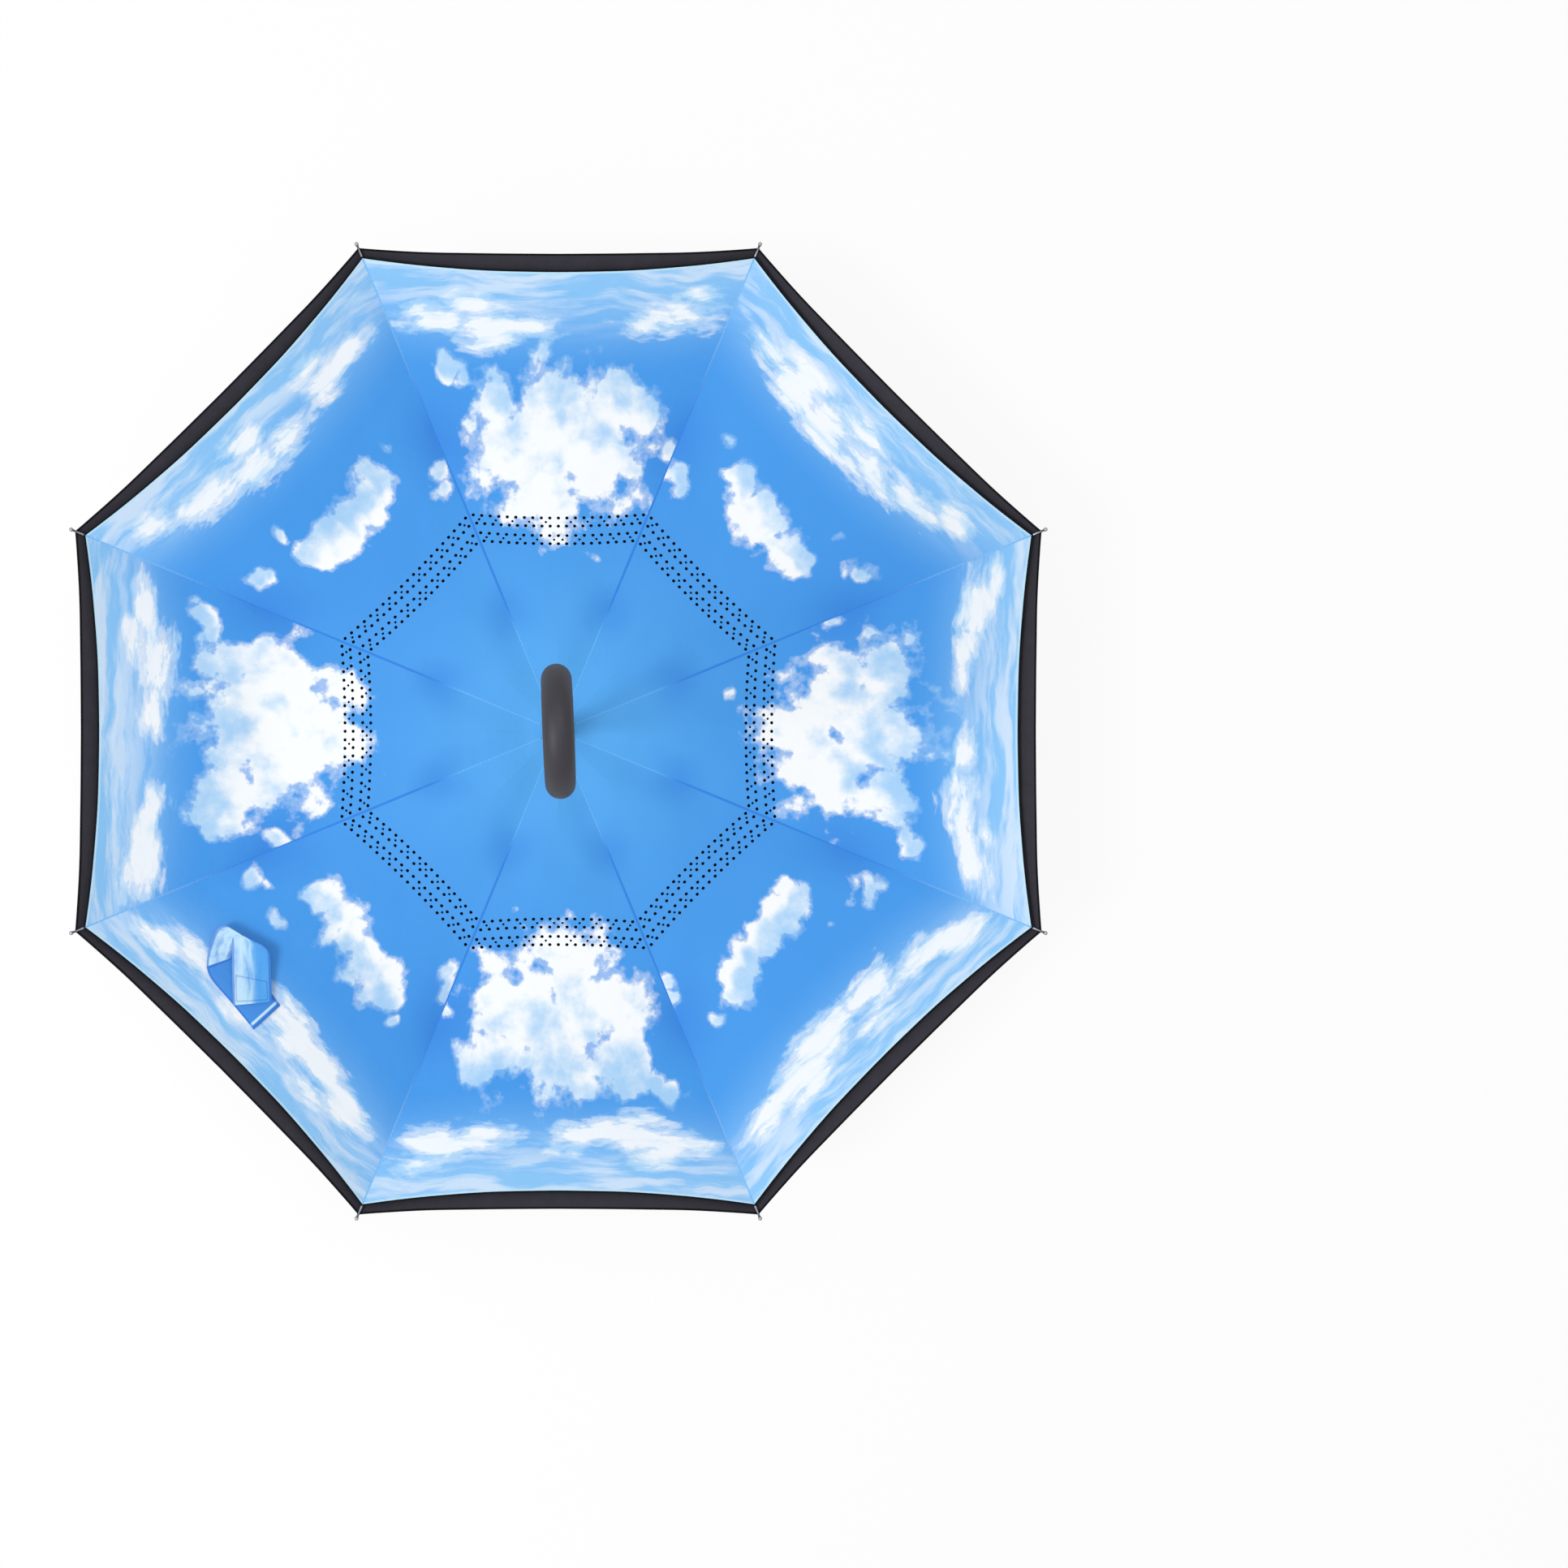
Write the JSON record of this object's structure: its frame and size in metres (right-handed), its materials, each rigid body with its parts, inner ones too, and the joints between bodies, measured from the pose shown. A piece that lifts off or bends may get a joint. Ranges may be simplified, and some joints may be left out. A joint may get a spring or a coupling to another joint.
{
  "type": "inverted umbrella",
  "caption": "Open inverted umbrella with a double canopy, sky print inside the bowl and plain black outside, hinged ribs, sliding runner with release button, and a C-shaped handle.",
  "frame": {"origin": "middle of the C-shaped handle, where the hand holds it, on the shaft's axis", "axes": "+Z along the shaft from the top cap towards the handle; the C opens towards +Y; the release button faces -Y"},
  "size_m": [0.9792, 0.9792, 0.7426],
  "materials": {
    "black_plastic": "satin moulded black",
    "gloss_plastic": "glossy near-black",
    "button_red": "satin red",
    "soft_grip": "matt soft-touch coating, dark grey",
    "shaft_metal": "black painted tube",
    "black_steel": "black electrophoretic paint",
    "bright_steel": "bright nickel plate",
    "rib_grey": "dark grey fibreglass rod",
    "sky_cloth": "printed polyester pongee, sky blue with clouds",
    "outer_cloth": "plain black polyester pongee"
  },
  "bodies": {
    "frame": {"top_cap": "black_plastic", "shaft_tube": "shaft_metal", "crown": "black_plastic", "crown_wire": "bright_steel", "c_handle": "soft_grip", "outer_panel_1": "outer_cloth", "outer_panel_2": "outer_cloth", "outer_panel_3": "outer_cloth", "outer_panel_4": "outer_cloth", "outer_panel_5": "outer_cloth", "outer_panel_6": "outer_cloth", "outer_panel_7": "outer_cloth", "outer_panel_8": "outer_cloth"},
    "runner": {"runner_hub": "black_plastic", "runner_wire": "bright_steel", "runner_collar": "gloss_plastic", "runner_sleeve": "gloss_plastic", "button_spring": "bright_steel", "sky_panel_1": "sky_cloth", "sky_panel_2": "sky_cloth", "sky_panel_3": "sky_cloth", "sky_panel_4": "sky_cloth", "sky_panel_5": "sky_cloth", "sky_panel_6": "sky_cloth", "sky_panel_7": "sky_cloth", "sky_panel_8": "sky_cloth"},
    "button": {"release_button": "button_red"},
    "rib_arm_1": {"rib_1": "rib_grey", "rib_tip_1": "bright_steel"},
    "rib_arm_2": {"rib_2": "rib_grey", "rib_tip_2": "bright_steel"},
    "rib_arm_3": {"rib_3": "rib_grey", "rib_tip_3": "bright_steel"},
    "rib_arm_4": {"rib_4": "rib_grey", "rib_tip_4": "bright_steel"},
    "rib_arm_5": {"rib_5": "rib_grey", "rib_tip_5": "bright_steel", "tie_strap": "sky_cloth"},
    "rib_arm_6": {"rib_6": "rib_grey", "rib_tip_6": "bright_steel"},
    "rib_arm_7": {"rib_7": "rib_grey", "rib_tip_7": "bright_steel"},
    "rib_arm_8": {"rib_8": "rib_grey", "rib_tip_8": "bright_steel"},
    "stretcher_arm_1": {"stretcher_1": "black_steel"},
    "stretcher_arm_2": {"stretcher_2": "black_steel"},
    "stretcher_arm_3": {"stretcher_3": "black_steel"},
    "stretcher_arm_4": {"stretcher_4": "black_steel"},
    "stretcher_arm_5": {"stretcher_5": "black_steel"},
    "stretcher_arm_6": {"stretcher_6": "black_steel"},
    "stretcher_arm_7": {"stretcher_7": "black_steel"},
    "stretcher_arm_8": {"stretcher_8": "black_steel"}
  },
  "joints": [
    {"name": "runner_slide", "type": "slide", "parent": "frame", "child": "runner", "axis": [0, 0, 1], "range_m": [0, 0.3927], "deforming": ["sky_panel_1", "sky_panel_2", "sky_panel_3", "sky_panel_4", "sky_panel_5", "sky_panel_6", "sky_panel_7", "sky_panel_8", "outer_panel_1", "outer_panel_2", "outer_panel_3", "outer_panel_4", "outer_panel_5", "outer_panel_6", "outer_panel_7", "outer_panel_8", "tie_strap"]},
    {"name": "button_press", "type": "slide", "parent": "runner", "child": "button", "axis": [0, 1, 0], "range_m": [0, 0.002], "stiffness_N_per_m": 800, "deforming": ["button_spring"]},
    {"name": "rib_hinge_1", "type": "hinge", "parent": "runner", "child": "rib_arm_1", "pos_m": [0.01155, 0.00478, -0.5726], "axis": [-0.3827, 0.9239, 0], "range_deg": [0, 80.3]},
    {"name": "rib_hinge_2", "type": "hinge", "parent": "runner", "child": "rib_arm_2", "pos_m": [0.00478, 0.01155, -0.5726], "axis": [-0.9239, 0.3827, 0], "range_deg": [0, 80.3]},
    {"name": "rib_hinge_3", "type": "hinge", "parent": "runner", "child": "rib_arm_3", "pos_m": [-0.00478, 0.01155, -0.5726], "axis": [-0.9239, -0.3827, 0], "range_deg": [0, 80.3]},
    {"name": "rib_hinge_4", "type": "hinge", "parent": "runner", "child": "rib_arm_4", "pos_m": [-0.01155, 0.00478, -0.5726], "axis": [-0.3827, -0.9239, 0], "range_deg": [0, 80.3]},
    {"name": "rib_hinge_5", "type": "hinge", "parent": "runner", "child": "rib_arm_5", "pos_m": [-0.01155, -0.00478, -0.5726], "axis": [0.3827, -0.9239, 0], "range_deg": [0, 80.3]},
    {"name": "rib_hinge_6", "type": "hinge", "parent": "runner", "child": "rib_arm_6", "pos_m": [-0.00478, -0.01155, -0.5726], "axis": [0.9239, -0.3827, 0], "range_deg": [0, 80.3]},
    {"name": "rib_hinge_7", "type": "hinge", "parent": "runner", "child": "rib_arm_7", "pos_m": [0.00478, -0.01155, -0.5726], "axis": [0.9239, 0.3827, 0], "range_deg": [0, 80.3]},
    {"name": "rib_hinge_8", "type": "hinge", "parent": "runner", "child": "rib_arm_8", "pos_m": [0.01155, -0.00478, -0.5726], "axis": [0.3827, 0.9239, 0], "range_deg": [0, 80.3]},
    {"name": "stretcher_hinge_1", "type": "hinge", "parent": "frame", "child": "stretcher_arm_1", "pos_m": [0.01109, 0.00459, -0.6496], "axis": [0.3827, -0.9239, 0], "range_deg": [0, 70.1]},
    {"name": "stretcher_hinge_2", "type": "hinge", "parent": "frame", "child": "stretcher_arm_2", "pos_m": [0.00459, 0.01109, -0.6496], "axis": [0.9239, -0.3827, 0], "range_deg": [0, 70.1]},
    {"name": "stretcher_hinge_3", "type": "hinge", "parent": "frame", "child": "stretcher_arm_3", "pos_m": [-0.00459, 0.01109, -0.6496], "axis": [0.9239, 0.3827, 0], "range_deg": [0, 70.1]},
    {"name": "stretcher_hinge_4", "type": "hinge", "parent": "frame", "child": "stretcher_arm_4", "pos_m": [-0.01109, 0.00459, -0.6496], "axis": [0.3827, 0.9239, 0], "range_deg": [0, 70.1]},
    {"name": "stretcher_hinge_5", "type": "hinge", "parent": "frame", "child": "stretcher_arm_5", "pos_m": [-0.01109, -0.00459, -0.6496], "axis": [-0.3827, 0.9239, 0], "range_deg": [0, 70.1]},
    {"name": "stretcher_hinge_6", "type": "hinge", "parent": "frame", "child": "stretcher_arm_6", "pos_m": [-0.00459, -0.01109, -0.6496], "axis": [-0.9239, 0.3827, 0], "range_deg": [0, 70.1]},
    {"name": "stretcher_hinge_7", "type": "hinge", "parent": "frame", "child": "stretcher_arm_7", "pos_m": [0.00459, -0.01109, -0.6496], "axis": [-0.9239, -0.3827, 0], "range_deg": [0, 70.1]},
    {"name": "stretcher_hinge_8", "type": "hinge", "parent": "frame", "child": "stretcher_arm_8", "pos_m": [0.01109, -0.00459, -0.6496], "axis": [-0.3827, -0.9239, 0], "range_deg": [0, 70.1]}
  ],
  "couplings": [
    {"joint": "rib_hinge_1", "follows": "runner_slide", "rad_per_m": 3.5686},
    {"joint": "rib_hinge_2", "follows": "runner_slide", "rad_per_m": 3.5686},
    {"joint": "rib_hinge_3", "follows": "runner_slide", "rad_per_m": 3.5686},
    {"joint": "rib_hinge_4", "follows": "runner_slide", "rad_per_m": 3.5686},
    {"joint": "rib_hinge_5", "follows": "runner_slide", "rad_per_m": 3.5686},
    {"joint": "rib_hinge_6", "follows": "runner_slide", "rad_per_m": 3.5686},
    {"joint": "rib_hinge_7", "follows": "runner_slide", "rad_per_m": 3.5686},
    {"joint": "rib_hinge_8", "follows": "runner_slide", "rad_per_m": 3.5686},
    {"joint": "stretcher_hinge_1", "follows": "runner_slide", "rad_per_m": 3.1139},
    {"joint": "stretcher_hinge_2", "follows": "runner_slide", "rad_per_m": 3.1139},
    {"joint": "stretcher_hinge_3", "follows": "runner_slide", "rad_per_m": 3.1139},
    {"joint": "stretcher_hinge_4", "follows": "runner_slide", "rad_per_m": 3.1139},
    {"joint": "stretcher_hinge_5", "follows": "runner_slide", "rad_per_m": 3.1139},
    {"joint": "stretcher_hinge_6", "follows": "runner_slide", "rad_per_m": 3.1139},
    {"joint": "stretcher_hinge_7", "follows": "runner_slide", "rad_per_m": 3.1139},
    {"joint": "stretcher_hinge_8", "follows": "runner_slide", "rad_per_m": 3.1139}
  ]
}
